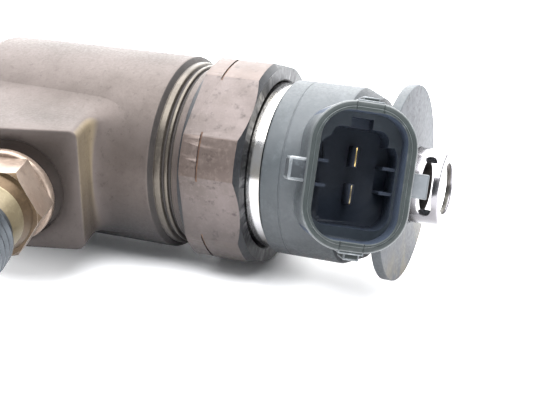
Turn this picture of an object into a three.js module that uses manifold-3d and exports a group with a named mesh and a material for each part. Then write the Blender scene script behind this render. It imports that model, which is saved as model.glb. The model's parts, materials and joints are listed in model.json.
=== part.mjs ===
// A solenoid common-rail diesel injector, lying on its side, in millimetres.
// X runs along the injector's axis from the nozzle to the electrical head, Z is up, and the
// origin is the centre of the seat face of the copper washer. The high-pressure inlet points
// to -Y, and the electrical connector points to -Y, upwards and towards the head.
import * as THREE from "three";
import { mergeVertices } from "three/addons/utils/BufferGeometryUtils.js";
import Module from "manifold-3d";

const wasm = await Module();
wasm.setup();

// ---- driving dimensions -----------------------------------------------------------------------
const HEAD = 142; // the plane where the metal can meets the plastic head
const RAD = Math.PI / 180;
const GAP = 0.3; // between pieces that rest on or round each other
const SLIDE = 0.03; // radial clearance of a running fit
const TURNED = 40; // sides of a large turned piece
const MIDDLE = 24; // sides of a middling or inner one
const SMALL = 16; // sides of a small one

const BODY_R = 14.54;
const BODY_START = HEAD - 72;
const WIDE_START = HEAD - 48.1; // where the body reaches its full width
const WAIST_R = 11.6; // the body between its shank and its wide end
const BODY_END = HEAD - 16.53;
const BODY_TOP = HEAD - 9;
const SHANK_R = 8.5;
const NECK_R = 13.3;

const NUT_ACROSS = 29;
const NUT_CORNER_R = 15.34;
const NUT_END = HEAD - 2.32;
const NUT_START = HEAD - 12.1;
const NUT_CORNER_ANGLE = 39.2 * RAD; // of one corner, from +Y towards +Z

const CAN_R = 12.2;
const HEAD_R = 12.84;
const DISC_R = 14.07;
const DISC_START = HEAD + 16.33;
const DISC_END = HEAD + 17.8;
const SLEEVE_R = 5.33;
const SLEEVE_BORE_R = 3.65;
const SLEEVE_END = HEAD + 23.3;
const PASSAGE_R = 2.6;

const CONNECTOR_UP = 22.5 * RAD; // round the axis, above the -Y direction
const CONNECTOR_LEAN = 23.67 * RAD; // towards the head
const CONNECTOR_X = HEAD + 7.3; // where its centre line leaves the injector's axis
const MOUTH = 22.99; // along the centre line, from the axis to the rim
const MOUTH_HALF = [6.91, 9.6];
const MOUTH_CORNER = 5.73;
const PIN_PITCH = 5;

const INLET_X = HEAD - 39.1;
const INLET_LEAN = 13.8 * RAD;
const INLET_FACE = 23.2; // along the inlet's axis, from the injector's axis to the boss face
const INLET_HEX = 12.2;
const INLET_HEX_TURN = -3.5 * RAD;
const INLET_BACK = 26.5; // to the back of the inlet's hexagon
const INLET_THREAD_R = 6;

const NOZZLE_TOP = 26;
const CHAMBER_END = 40.5; // of the nozzle spring's chamber
const VALVE_START = HEAD - 47;
const VALVE_TOP = HEAD - 19.15;

// ---- finishes ---------------------------------------------------------------------------------
function finish(color, roughness, metalness) {
  return new THREE.MeshStandardMaterial({ color, roughness, metalness });
}

const FINISH = {
  darkSteel: finish(0x7c6c62, 0.5, 0.85),
  brownSteel: finish(0x8a7a70, 0.45, 0.85),
  yellowSteel: finish(0xa08a70, 0.4, 0.9),
  grindSteel: finish(0xa9abad, 0.3, 0.95),
  springSteel: finish(0x80848a, 0.35, 0.95),
  chrome: finish(0xd9dade, 0.12, 1),
  plastic: finish(0x4a5255, 0.55, 0),
  bobbin: finish(0xb9a98a, 0.6, 0),
  gold: finish(0xd8b65a, 0.25, 1),
  copper: finish(0xb06f4a, 0.35, 0.95),
  rubber: finish(0x1d1e20, 0.8, 0),
};

// ---- geometry helpers -------------------------------------------------------------------------
function solid(geometry) {
  const plain = geometry.index ? geometry.toNonIndexed() : geometry.clone();
  plain.deleteAttribute("normal");
  plain.deleteAttribute("uv");
  const merged = mergeVertices(plain, 1e-4);
  const index = merged.index.array;
  const kept = [];
  for (let i = 0; i < index.length; i += 3) {
    const [a, b, c] = [index[i], index[i + 1], index[i + 2]];
    if (a !== b && b !== c && a !== c) kept.push(a, b, c);
  }
  const mesh = new wasm.Mesh({
    numProp: 3,
    vertProperties: new Float32Array(merged.attributes.position.array),
    triVerts: new Uint32Array(kept),
  });
  return new wasm.Manifold(mesh);
}

function geometryOf(manifold) {
  const mesh = manifold.getMesh();
  const geometry = new THREE.BufferGeometry();
  geometry.setAttribute("position", new THREE.BufferAttribute(mesh.vertProperties.slice(), 3));
  geometry.setIndex(new THREE.BufferAttribute(mesh.triVerts.slice(), 1));
  return geometry;
}

// A turned solid about X. The outline is a list of [x, radius]; it starts and ends on the axis,
// or goes round a ring's section once.
function turned(outline, sides = TURNED) {
  const ring = outline.every(([, r]) => r > 0);
  const closed = ring ? [...outline, outline[0]] : outline;
  let area = 0;
  for (let i = 0; i < closed.length; i += 1) {
    const [x0, r0] = closed[i];
    const [x1, r1] = closed[(i + 1) % closed.length];
    area += r0 * x1 - r1 * x0;
  }
  const run = area > 0 ? closed : [...closed].reverse();
  const points = run.map(([x, r]) => new THREE.Vector2(r, x));
  const geometry = new THREE.LatheGeometry(points, sides);
  geometry.rotateZ(-Math.PI / 2);
  return solid(geometry);
}

function rod(start, end, radius, sides = SMALL) {
  return turned([[start, 0], [start, radius], [end, radius], [end, 0]], sides);
}

function tube(start, end, outer, inner, sides = TURNED) {
  return turned([[start, inner], [start, outer], [end, outer], [end, inner]], sides);
}

function block(x0, x1, y0, y1, z0, z1) {
  const geometry = new THREE.BoxGeometry(x1 - x0, y1 - y0, z1 - z0);
  geometry.translate((x0 + x1) / 2, (y0 + y1) / 2, (z0 + z1) / 2);
  return solid(geometry);
}

function placed(manifold, matrix) {
  return manifold.transform(matrix.elements);
}

// Turns a solid about the injector's axis.
function spun(manifold, angle) {
  return placed(manifold, new THREE.Matrix4().makeRotationX(angle));
}

function without(base, tools) {
  return tools.reduce((left, tool) => left.subtract(tool), base);
}

function joined(base, tools) {
  return tools.reduce((left, tool) => left.add(tool), base);
}

// A straight drilling between two points.
function drilling(from, to, radius, sides = 12) {
  const a = new THREE.Vector3(...from);
  const b = new THREE.Vector3(...to);
  const along = b.clone().sub(a);
  const turn = new THREE.Quaternion().setFromUnitVectors(
    new THREE.Vector3(1, 0, 0),
    along.clone().normalize(),
  );
  const matrix = new THREE.Matrix4().compose(a, turn, new THREE.Vector3(1, 1, 1));
  return placed(rod(0, along.length(), radius, sides), matrix);
}

// A rounded rectangle, as a shape.
function roundedShape(halfWidth, halfHeight, corner, steps = 6) {
  const shape = new THREE.Shape();
  const corners = [[1, 1, 0], [-1, 1, 90], [-1, -1, 180], [1, -1, 270]];
  const points = [];
  for (const [sx, sy, first] of corners) {
    for (let i = 0; i <= steps; i += 1) {
      const angle = (first + (90 * i) / steps) * RAD;
      const x = sx * (halfWidth - corner) + corner * Math.cos(angle);
      const y = sy * (halfHeight - corner) + corner * Math.sin(angle);
      points.push(new THREE.Vector2(x, y));
    }
  }
  shape.setFromPoints(points);
  return shape;
}

function prism(shape, start, end) {
  const geometry = new THREE.ExtrudeGeometry(shape, { depth: end - start, bevelEnabled: false });
  geometry.translate(0, 0, start);
  return solid(geometry);
}

function hexagonShape(across) {
  const shape = new THREE.Shape();
  const reach = across / Math.sqrt(3);
  const points = [0, 1, 2, 3, 4, 5].map((k) => {
    const angle = k * 60 * RAD;
    return new THREE.Vector2(reach * Math.cos(angle), reach * Math.sin(angle));
  });
  shape.setFromPoints(points);
  return shape;
}

// A coil of round wire about X.
function coil(start, end, radius, wire, turns, perTurn = 9) {
  class Helix extends THREE.Curve {
    getPoint(t, target = new THREE.Vector3()) {
      const angle = t * turns * 2 * Math.PI;
      const x = start + wire + t * (end - start - 2 * wire);
      return target.set(x, radius * Math.cos(angle), radius * Math.sin(angle));
    }
  }
  const section = new THREE.Shape();
  const sides = 5;
  const points = [];
  for (let i = 0; i < sides; i += 1) {
    const angle = (i * 2 * Math.PI) / sides;
    points.push(new THREE.Vector2(wire * Math.cos(angle), wire * Math.sin(angle)));
  }
  section.setFromPoints(points);
  const geometry = new THREE.ExtrudeGeometry(section, {
    steps: Math.round(turns * perTurn),
    extrudePath: new Helix(),
    bevelEnabled: false,
  });
  return solid(geometry);
}

// ---- frames of the two side branches ----------------------------------------------------------
// Local Z runs out along the branch and local X points towards the head.
function branchMatrix(x, up, lean) {
  const out = new THREE.Vector3(
    Math.sin(lean),
    -Math.cos(lean) * Math.cos(up),
    Math.cos(lean) * Math.sin(up),
  );
  const side = new THREE.Vector3(0, Math.sin(up), Math.cos(up));
  const along = new THREE.Vector3().crossVectors(side, out).normalize();
  const matrix = new THREE.Matrix4().makeBasis(along, side, out);
  return matrix.setPosition(x, 0, 0);
}

const CONNECTOR = branchMatrix(CONNECTOR_X, CONNECTOR_UP, CONNECTOR_LEAN);
const INLET = branchMatrix(INLET_X, 0, INLET_LEAN);

// A solid turned about a branch's own Z, from an outline of [z, radius].
function branchTurned(outline, matrix, sides = TURNED) {
  const upright = new THREE.Matrix4().makeRotationY(-Math.PI / 2);
  return placed(turned(outline, sides), matrix.clone().multiply(upright));
}

// ---- injector body ----------------------------------------------------------------------------
function injectorBody() {
  const outside = turned([
    [NOZZLE_TOP + GAP, 0],
    [NOZZLE_TOP + GAP, 6.9],
    [NOZZLE_TOP + 0.8, 7.2],
    [37, 7.2],
    [37, 6.8],
    [38.4, 6.8],
    [38.4, SHANK_R],
    [BODY_START - 4, SHANK_R],
    [BODY_START, WAIST_R],
    [WIDE_START - 5.8, WAIST_R],
    [WIDE_START, BODY_R],
    [BODY_END, BODY_R],
    [BODY_END + 0.55, 13.8],
    [BODY_END + 1.7, 13.75],
    [BODY_END + 1.8, 13.2],
    [BODY_END + 2.1, 13.2],
    [BODY_END + 2.15, 13.45],
    [BODY_END + 2.65, 13.45],
    [BODY_END + 2.7, 12.95],
    [BODY_END + 3.1, 12.95],
    [BODY_END + 3.15, NECK_R],
    [BODY_TOP - 0.6, NECK_R],
    [BODY_TOP, NECK_R - 0.6],
    [BODY_TOP, 0],
  ]);
  const whole = joined(outside, [inletBoss()]);
  const groove = tube(BODY_TOP - 0.95, BODY_TOP + 1, 11.55, 10.45);
  return without(whole, [mainBore(), groove, inletBore(), ...clampFlats(), ...bodyDrillings()]);
}

// The square pad on the -Y side that carries the inlet; its face is square to the inlet's axis.
function inletBoss() {
  return placed(prism(roundedShape(10, 9.05, 0.8, 3), 5, INLET_FACE), INLET);
}

function mainBore() {
  return turned([
    [NOZZLE_TOP - 1, 0],
    [NOZZLE_TOP - 1, 4.2],
    [CHAMBER_END, 4.2],
    [CHAMBER_END, 2.6],
    [VALVE_START - 0.4, 2.6],
    [VALVE_START - 0.4, 4.75],
    [VALVE_TOP - 5.75, 4.75],
    [VALVE_TOP - 5.75, 7.1],
    [VALVE_TOP + 0.1, 7.1],
    [VALVE_TOP + 0.1, 7.5],
    [HEAD - 16, 7.5],
    [HEAD - 16, 8.15],
    [HEAD - 12.1, 8.15],
    [HEAD - 12.1, 9.3],
    [BODY_TOP + 1, 9.3],
    [BODY_TOP + 1, 0],
  ]);
}

// The counterbored socket for the inlet fitting and the drilling to the valve chamber.
function inletBore() {
  return branchTurned(
    [[3, 0], [3, 1.1], [14, 1.1], [15.5, 5.4], [INLET_FACE - 1.2, 5.4],
      [INLET_FACE - 1.2, 7.3], [INLET_BACK, 7.3], [INLET_BACK, 0]],
    INLET,
    MIDDLE,
  );
}

// Two flats low on the waist; their nozzle ends are the shoulders the clamp presses on.
function clampFlats() {
  const [start, end, depth] = [BODY_START + 5, BODY_START + 15, 9];
  const top = block(start, end, -20, 20, depth, 20);
  const bottom = block(start, end, -20, 20, -20, -depth);
  return [top, bottom];
}

function bodyDrillings() {
  const feed = drilling([NOZZLE_TOP - 1, -5.7, 0], [INLET_X - 1, -5.7, 0], 0.8);
  const leak = drilling([CHAMBER_END - 2, 5.4, 0], [HEAD - 11.5, 8.6, 0], 0.9);
  return [feed, leak];
}

// ---- high-pressure inlet ----------------------------------------------------------------------
function inletFitting() {
  const [back, front] = [INLET_BACK, INLET_BACK + 5.4];
  const corner = INLET_HEX / Math.sqrt(3);
  const turn = new THREE.Matrix4().makeRotationZ(INLET_HEX_TURN);
  const hexagon = placed(prism(hexagonShape(INLET_HEX), back, front), INLET.clone().multiply(turn));
  const turnedHex = branchTurned(
    [[back - 1, 0], [back - 1, corner], [front - 0.5, corner], [front, corner - 0.5], [front, 0]],
    INLET,
    MIDDLE,
  );
  const outline = [[INLET_BACK - 8, 0], [INLET_BACK - 8, 5.1], [back - 1.5, 5.1], [back - 1.5, 6.8],
    [back - 1.2, 7.05], [back + 0.1, 7.05], [back + 0.1, 5.9], [front + 0.1, 5.9],
    [front + 1.5, 5.1], [front + 5.8, 5.1], ...threadOutline(front + 5.8, front + 15)];
  const stem = branchTurned([...outline, [front + 15, 0]], INLET, MIDDLE);
  const bore = branchTurned(
    [[back - 9, 0], [back - 9, 2.2], [front + 8.5, 2.2], [front + 8.5, 2.6],
      [front + 11, 2.6], [front + 15.6, 5.2], [front + 15.6, 0]],
    INLET,
    SMALL,
  );
  return joined(hexagon.intersect(turnedHex), [stem]).subtract(bore);
}

// Ridges of the union-nut thread, as [z, radius].
function threadOutline(start, end) {
  const pitch = 1.5;
  const count = Math.floor((end - start - 0.6) / pitch);
  const ridges = [];
  for (let i = 0; i < count; i += 1) {
    const z = start + i * pitch;
    ridges.push([z + 0.45, INLET_THREAD_R]);
    ridges.push([z + 0.75, INLET_THREAD_R]);
    ridges.push([z + 1.2, INLET_THREAD_R - 0.8]);
    ridges.push([z + 1.4, INLET_THREAD_R - 0.8]);
  }
  ridges.push([end, INLET_THREAD_R - 0.9]);
  return ridges;
}

function edgeFilter() {
  const end = INLET_BACK + 11.8;
  return branchTurned(
    [[INLET_BACK - 7, 0], [INLET_BACK - 7, 1], [INLET_BACK - 5, 1.9], [end - 2, 1.9],
      [end, 0.8], [end, 0]],
    INLET,
    SMALL,
  );
}

// ---- solenoid clamping nut --------------------------------------------------------------------
function solenoidNut() {
  const bar = prism(hexagonShape(NUT_ACROSS), NUT_START + 0.9, NUT_END);
  const upright = new THREE.Matrix4().makeRotationY(Math.PI / 2);
  const hexagon = spun(placed(bar, upright), NUT_CORNER_ANGLE + Math.PI / 2);
  const outside = turned([
    [NUT_START + 0.9, 0],
    [NUT_START + 0.9, NUT_CORNER_R],
    [HEAD - 3.02, NUT_CORNER_R],
    [NUT_END, 14.5],
    [NUT_END, 0],
  ]);
  const collar = rod(NUT_START, NUT_START + 1.2, 13.95, TURNED);
  const bore = turned([
    [NUT_START - 1, 0],
    [NUT_START - 1, NECK_R + 0.05],
    [HEAD - 6.6, NECK_R + 0.05],
    [HEAD - 6.6, CAN_R + 0.15],
    [NUT_END - 0.4, CAN_R + 0.15],
    [NUT_END + 0.2, CAN_R + 0.55],
    [NUT_END + 0.2, 0],
  ]);
  return joined(hexagon.intersect(outside), [collar]).subtract(bore);
}

// ---- magnet assembly --------------------------------------------------------------------------
function solenoidCan() {
  return turned([
    [HEAD - 8.85, 10.95],
    [HEAD - 8.85, 13],
    [HEAD - 6.8, 13],
    [HEAD - 6.8, CAN_R],
    [HEAD - 0.2, CAN_R],
    [HEAD - 0.2, 10.95],
  ]);
}

function magnetCore() {
  return turned([
    [HEAD - 8.9, 3.2],
    [HEAD - 8.9, 5.1],
    [HEAD - 2.9, 5.1],
    [HEAD - 2.9, 8.7],
    [HEAD - 8.9, 8.7],
    [HEAD - 8.9, 10.7],
    [HEAD - 0.9, 10.7],
    [HEAD - 0.9, 3.2],
  ], MIDDLE);
}

function coilBobbin() {
  return turned([
    [HEAD - 8.7, 5.3],
    [HEAD - 8.7, 8.45],
    [HEAD - 8.1, 8.45],
    [HEAD - 8.1, 5.9],
    [HEAD - 3.8, 5.9],
    [HEAD - 3.8, 8.45],
    [HEAD - 3.2, 8.45],
    [HEAD - 3.2, 5.3],
  ], MIDDLE);
}

function coilWinding() {
  const layers = [];
  const [start, end] = [HEAD - 7.9, HEAD - 4];
  const rows = 4;
  const pitch = (end - start) / rows;
  for (let i = 0; i < rows; i += 1) {
    layers.push([start + i * pitch, 8.05]);
    layers.push([start + (i + 0.5) * pitch, 8.35]);
  }
  layers.push([end, 8.05]);
  return turned([[start, 6.05], ...layers, [end, 6.05]], MIDDLE);
}

// Lies in a groove in the body's top face.
function solenoidORing() {
  const [x, radius, wire] = [BODY_TOP - 0.46, 11, 0.42];
  const points = [];
  for (let i = 0; i < 8; i += 1) {
    const angle = (i * 45 + 22.5) * RAD;
    points.push([x + wire * Math.cos(angle), radius + wire * Math.sin(angle)]);
  }
  return turned(points, MIDDLE);
}

// ---- plastic head -----------------------------------------------------------------------------
function connectorHead() {
  const core = turned([
    [HEAD - 0.6, 0],
    [HEAD - 0.6, 10.7],
    [HEAD, 10.7],
    [HEAD, HEAD_R],
    [HEAD + 2.7, HEAD_R],
    [HEAD + 2.76, HEAD_R - 0.15],
    [HEAD + 2.9, HEAD_R - 0.15],
    [HEAD + 2.96, HEAD_R],
    [HEAD + 10, HEAD_R],
    [HEAD + 12.9, 11.5],
    [HEAD + 13.4, 8.2],
    [DISC_START - 0.6, 8.2],
    [DISC_START, 8.8],
    [DISC_START, DISC_R - 0.15],
    [DISC_START + 0.15, DISC_R],
    [DISC_END - 0.15, DISC_R],
    [DISC_END, DISC_R - 0.15],
    [DISC_END, 5.75],
    [DISC_END + 1.1, 5.6],
    [DISC_END + 1.1, 0],
  ]);
  const whole = joined(core, [shroud(), ...lugs()]);
  return without(whole, [shroudCavity(), headPassage(), ...pinSlots()]);
}

function shroud() {
  const outside = roundedShape(MOUTH_HALF[0], MOUTH_HALF[1], MOUTH_CORNER);
  return placed(prism(outside, 6, MOUTH), CONNECTOR);
}

// Blocks outside the rim that hold the cable plug's wire clip.
function lugs() {
  const [w, h] = MOUTH_HALF;
  const boxes = [
    block(-w - 2.9, -w + 1, -1.8, 1.5, MOUTH - 8, MOUTH - 1.3),
    block(w - 1, w + 2.2, -1.7, 1.5, MOUTH - 6, MOUTH - 1.6),
    block(-1.6, 1.9, h - 1, h + 0.6, MOUTH - 6, MOUTH - 0.6),
    block(-1.4, 1.9, -h - 1.1, -h + 1, MOUTH - 7, MOUTH - 0.6),
  ];
  return boxes.map((box) => placed(box, CONNECTOR));
}

// The mouth, a ledge inside it, and the narrower socket below with its shoulders, ribs and key.
function shroudCavity() {
  const [ledge, floor] = [MOUTH - 5, MOUTH - 12.4];
  const mouth = prism(roundedShape(5.55, 8.3, 3.8), ledge, MOUTH + 1);
  const upper = prism(roundedShape(3.8, 6.3, 1.4, 4), floor, MOUTH);
  const lower = placed(
    prism(roundedShape(5.2, 5.9, 2.2, 5), floor, MOUTH),
    new THREE.Matrix4().makeTranslation(0, -0.9, 0),
  );
  const shoulder = block(3.8, 6, 4.3, 6, floor - 1, MOUTH + 1);
  const ribs = [[1, 1.5], [1, -1.75], [-1, 1.5], [-1, -1.75]].map(([side, y]) => {
    const [near, far] = [side * 3.6, side * 6];
    return block(Math.min(near, far), Math.max(near, far), y - 0.2, y + 0.2, floor - 1, ledge - 1);
  });
  const socket = joined(without(lower, [shoulder, ...ribs]), [without(upper, ribs)]);
  const notch = block(-1.45, 1.45, 6, 7.6, MOUTH - 9, MOUTH);
  return placed(joined(mouth, [socket, notch]), CONNECTOR);
}

function headPassage() {
  return turned([
    [HEAD - 1, 0],
    [HEAD - 1, 3.2],
    [HEAD + 2.9, 3.2],
    [HEAD + 2.9, PASSAGE_R],
    [HEAD + 12, PASSAGE_R],
    [HEAD + 12, SLEEVE_R + 0.05],
    [DISC_END + 2, SLEEVE_R + 0.05],
    [DISC_END + 2, 0],
  ]);
}

function pinBlade(side, grow) {
  const [half, thick] = [1.4 + grow, 0.4 + grow];
  const y = (side * PIN_PITCH) / 2;
  const tip = MOUTH - 6.6;
  const blade = block(-thick, thick, y - half, y + half, MOUTH - 17 - grow, tip - 0.7);
  const [narrow, inset] = [thick - 0.15, half - 0.25];
  const end = block(-narrow, narrow, y - inset, y + inset, tip - 0.8, tip);
  return joined(blade, [end]);
}

function pinSlots() {
  return [1, -1].map((side) => placed(pinBlade(side, 0.06), CONNECTOR));
}

function terminalPin(side) {
  return placed(pinBlade(side, 0), CONNECTOR);
}

// ---- return connection ------------------------------------------------------------------------
function returnSleeve() {
  const barrel = turned([
    [HEAD + 12.3, SLEEVE_BORE_R],
    [HEAD + 12.3, SLEEVE_R],
    [SLEEVE_END - 0.25, SLEEVE_R],
    [SLEEVE_END, SLEEVE_R - 0.25],
    [SLEEVE_END, SLEEVE_BORE_R + 0.2],
    [SLEEVE_END - 0.2, SLEEVE_BORE_R],
  ]);
  return without(barrel, [1, -1].map(sleeveWindow));
}

// An oblong window through one side of the sleeve, with rounded ends.
function sleeveWindow(side) {
  const [middle, half, corner] = [SLEEVE_END - 1.95, 0.95, 0.9];
  const shape = roundedShape(half, 4.15, corner, 5);
  const cutter = prism(shape, 1.5, 9);
  const out = branchMatrix(middle, CONNECTOR_UP, 0);
  const flip = new THREE.Matrix4().makeRotationX(side > 0 ? 0 : Math.PI);
  return placed(cutter, flip.premultiply(out));
}

// ---- control valve ----------------------------------------------------------------------------
function solenoidSpring() {
  return coil(HEAD - 7.3, HEAD + 1.2, 2.1, 0.38, 6);
}

function springShim() {
  return tube(HEAD + 1.5, HEAD + 2.6, 3.05, 1.2, SMALL);
}

function armaturePlate() {
  const plate = tube(HEAD - 10.65, HEAD - 9.05, 8.2, 1.55, MIDDLE);
  const cuts = [0, 1, 2, 3, 4].map((k) => {
    const hole = drilling([HEAD - 12, 5.2, 0], [HEAD - 8, 5.2, 0], 1.1);
    return spun(hole, k * 72 * RAD);
  });
  return without(plate, cuts);
}

function armaturePin() {
  return turned([
    [HEAD - 16.5, 0],
    [HEAD - 16.5, 1.2],
    [HEAD - 16.3, 1.45],
    [HEAD - 8.95, 1.45],
    [HEAD - 8.95, 1.1],
    [HEAD - 8.45, 1.1],
    [HEAD - 8.45, 1.45],
    [HEAD - 7.6, 1.45],
    [HEAD - 7.6, 0],
  ], SMALL);
}

// A slotted washer that holds the plate on its pin.
function armatureWasher() {
  const ring = tube(HEAD - 8.85, HEAD - 8.55, 2.7, 1.2, SMALL);
  const slot = block(HEAD - 10, HEAD - 7, -1.15, 1.15, 0, 4);
  return ring.subtract(slot);
}

function armatureSpring() {
  return coil(HEAD - 15.8, HEAD - 10.95, 3.1, 0.3, 4);
}

function valveScrew() {
  const ring = turned([
    [HEAD - 15.9, 4.2],
    [HEAD - 15.9, 8],
    [HEAD - 12.3, 8],
    [HEAD - 12.3, 4.6],
    [HEAD - 12.7, 4.2],
  ], MIDDLE);
  const slot = block(HEAD - 13.3, HEAD - 12, -10, 10, -0.9, 0.9);
  const slots = [0, 1].map((k) => spun(slot, k * 90 * RAD));
  return without(ring, slots);
}

function armatureGuide() {
  const guide = turned([
    [HEAD - 18.5, 2.6],
    [HEAD - 18.5, 7.3],
    [HEAD - 16.2, 7.3],
    [HEAD - 16.2, 2.4],
    [HEAD - 12.8, 2.4],
    [HEAD - 12.8, 1.45 + SLIDE],
    [HEAD - 16.4, 1.45 + SLIDE],
    [HEAD - 16.4, 2.6],
  ], MIDDLE);
  const cuts = [0, 1, 2].map((k) => {
    const hole = drilling([HEAD - 19, 5.3, 0], [HEAD - 15.9, 5.3, 0], 0.8);
    return spun(hole, (k * 120 + 60) * RAD);
  });
  return without(guide, cuts);
}

function liftRing() {
  return tube(VALVE_TOP + 0.15, VALVE_TOP + 0.55, 7.3, 4.4, MIDDLE);
}

function ballHolder() {
  return turned([
    [HEAD - 18.35, 0],
    [HEAD - 18.7, 0.75],
    [HEAD - 18.7, 2],
    [HEAD - 17, 2],
    [HEAD - 16.8, 1.8],
    [HEAD - 16.8, 0],
  ], SMALL);
}

function valveBall() {
  const points = [];
  const steps = 10;
  for (let i = 0; i <= steps; i += 1) {
    const angle = Math.PI * (1 - i / steps);
    const r = i === 0 || i === steps ? 0 : 0.5 * Math.sin(angle);
    points.push([HEAD - 18.95 + 0.5 * Math.cos(angle), r]);
  }
  return turned(points, 16);
}

function valvePiece() {
  const outside = turned([
    [VALVE_START, 0],
    [VALVE_START, 4],
    [VALVE_START + 0.5, 4.4],
    [VALVE_TOP - 5.6, 4.4],
    [VALVE_TOP - 5.6, 6.8],
    [VALVE_TOP, 6.8],
    [VALVE_TOP, 0],
  ], MIDDLE);
  const bore = turned([
    [VALVE_START - 1, 0],
    [VALVE_START - 1, 2.1 + SLIDE],
    [VALVE_START + 17, 2.1 + SLIDE],
    [VALVE_START + 18, 0.6],
    [VALVE_TOP - 2, 0.6],
    [VALVE_TOP - 1.2, 0.3],
    [VALVE_TOP - 0.55, 0.3],
    [VALVE_TOP + 0.1, 0.9],
    [VALVE_TOP + 0.1, 0],
  ], SMALL);
  const inlet = drilling([VALVE_START + 16, 0, 0], [VALVE_START + 16, 6, 0], 0.3, 8);
  return without(outside, [bore, inlet]);
}

function valveSealRing() {
  return tube(VALVE_TOP - 8.2, VALVE_TOP - 6.2, 4.68, 4.46, MIDDLE);
}

// ---- needle train -----------------------------------------------------------------------------
function controlPiston() {
  return turned([
    [CHAMBER_END + 2.1, 0],
    [CHAMBER_END + 2.1, 1.7],
    [VALVE_START - 3, 1.9],
    [VALVE_START - 2, 2.1],
    [VALVE_START + 14.8, 2.1],
    [VALVE_START + 16.2, 1.2],
    [VALVE_START + 16.2, 0],
  ], SMALL);
}

function pressurePin() {
  return turned([
    [NOZZLE_TOP + 0.3, 0],
    [NOZZLE_TOP + 0.3, 3.5],
    [NOZZLE_TOP + 1.8, 3.5],
    [NOZZLE_TOP + 1.8, 1.8],
    [CHAMBER_END + 1.9, 1.8],
    [CHAMBER_END + 1.9, 0],
  ], SMALL);
}

function nozzleSpring() {
  return coil(NOZZLE_TOP + 2.2, CHAMBER_END - 1.5, 3, 0.6, 5);
}

function nozzleSpringShim() {
  return tube(CHAMBER_END - 1.2, CHAMBER_END - 0.2, 4.05, 2.3, SMALL);
}

function nozzleNeedle() {
  return turned([
    [-15.6, 0],
    [-14.4, 1],
    [-13.4, 1.4],
    [6.5, 1.4],
    [8.5, 2],
    [NOZZLE_TOP, 2],
    [NOZZLE_TOP, 0],
  ], SMALL);
}

function nozzleBody() {
  const outside = turned([
    [-18, 0],
    [-17.8, 0.8],
    [-17, 1.35],
    [-13.2, 3.1],
    [-12, 3.5],
    [1.65, 3.5],
    [2.4, 4.5],
    [17.2, 4.5],
    [18, 6.2],
    [18, 6.95],
    [NOZZLE_TOP - 0.4, 6.95],
    [NOZZLE_TOP, 6.6],
    [NOZZLE_TOP, 0],
  ], MIDDLE);
  const bore = turned([
    [-16.9, 0],
    [-16.4, 0.5],
    [-13.9, 1.9],
    [6.2, 1.9],
    [6.8, 2.9],
    [9.4, 2.9],
    [10.2, 2 + SLIDE],
    [NOZZLE_TOP + 1, 2 + SLIDE],
    [NOZZLE_TOP + 1, 0],
  ], SMALL);
  const feed = drilling([NOZZLE_TOP + 1, -5.9, 0], [7.8, -2, 0], 0.6);
  const seats = [1, -1].map((side) => dowelHole(side));
  return without(outside, [bore, feed, ...seats, ...sprayHoles()]);
}

function sprayHoles() {
  return [0, 1, 2, 3, 4, 5].map((k) => {
    const hole = drilling([-16.6, 0, 0], [-17.4, 2.2, 0], 0.12, 6);
    return spun(hole, k * 60 * RAD);
  });
}

function dowelHole(side) {
  return drilling([NOZZLE_TOP - 3.2, side * 3.2, 4.6], [NOZZLE_TOP + 4, side * 3.2, 4.6], 0.8);
}

function nozzleDowel(side) {
  return drilling([NOZZLE_TOP - 3, side * 3.2, 4.6], [NOZZLE_TOP + 0.2, side * 3.2, 4.6], 0.72);
}

function retainingNut() {
  return turned([
    [1.7, 4.75],
    [1.7, 7.6],
    [2.3, 8.2],
    [9, 8.2],
    [9.6, 8.5],
    [36.4, 8.5],
    [37.2, 8],
    [37.2, 7.45],
    [17.7, 7.45],
    [17.7, 6.4],
    [17, 4.75],
  ], MIDDLE);
}

function sealingWasher() {
  return turned([
    [0, 3.8],
    [0, 7],
    [0.25, 7.3],
    [1.25, 7.3],
    [1.5, 7],
    [1.5, 3.8],
  ]);
}

// ---- the part ---------------------------------------------------------------------------------
const part = new THREE.Group();
part.name = "diesel_injector";

function add(name, manifold, material) {
  const mesh = new THREE.Mesh(geometryOf(manifold), material);
  mesh.name = name;
  part.add(mesh);
}

add("injector_body", injectorBody(), FINISH.darkSteel);
add("pressure_inlet_fitting", inletFitting(), FINISH.yellowSteel);
add("inlet_edge_filter", edgeFilter(), FINISH.grindSteel);
add("solenoid_nut", solenoidNut(), FINISH.brownSteel);
add("solenoid_can", solenoidCan(), FINISH.chrome);
add("magnet_core", magnetCore(), FINISH.grindSteel);
add("coil_bobbin", coilBobbin(), FINISH.bobbin);
add("coil_winding", coilWinding(), FINISH.copper);
add("solenoid_o_ring", solenoidORing(), FINISH.rubber);
add("connector_head", connectorHead(), FINISH.plastic);
add("terminal_pin_1", terminalPin(1), FINISH.gold);
add("terminal_pin_2", terminalPin(-1), FINISH.gold);
add("return_sleeve", returnSleeve(), FINISH.chrome);
add("solenoid_spring", solenoidSpring(), FINISH.springSteel);
add("solenoid_spring_shim", springShim(), FINISH.grindSteel);
add("armature_plate", armaturePlate(), FINISH.grindSteel);
add("armature_pin", armaturePin(), FINISH.grindSteel);
add("armature_washer", armatureWasher(), FINISH.springSteel);
add("armature_spring", armatureSpring(), FINISH.springSteel);
add("armature_guide", armatureGuide(), FINISH.grindSteel);
add("valve_screw", valveScrew(), FINISH.grindSteel);
add("lift_setting_ring", liftRing(), FINISH.grindSteel);
add("ball_holder", ballHolder(), FINISH.grindSteel);
add("valve_ball", valveBall(), FINISH.chrome);
add("valve_piece", valvePiece(), FINISH.grindSteel);
add("valve_seal_ring", valveSealRing(), FINISH.rubber);
add("control_piston", controlPiston(), FINISH.grindSteel);
add("pressure_pin", pressurePin(), FINISH.grindSteel);
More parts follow.
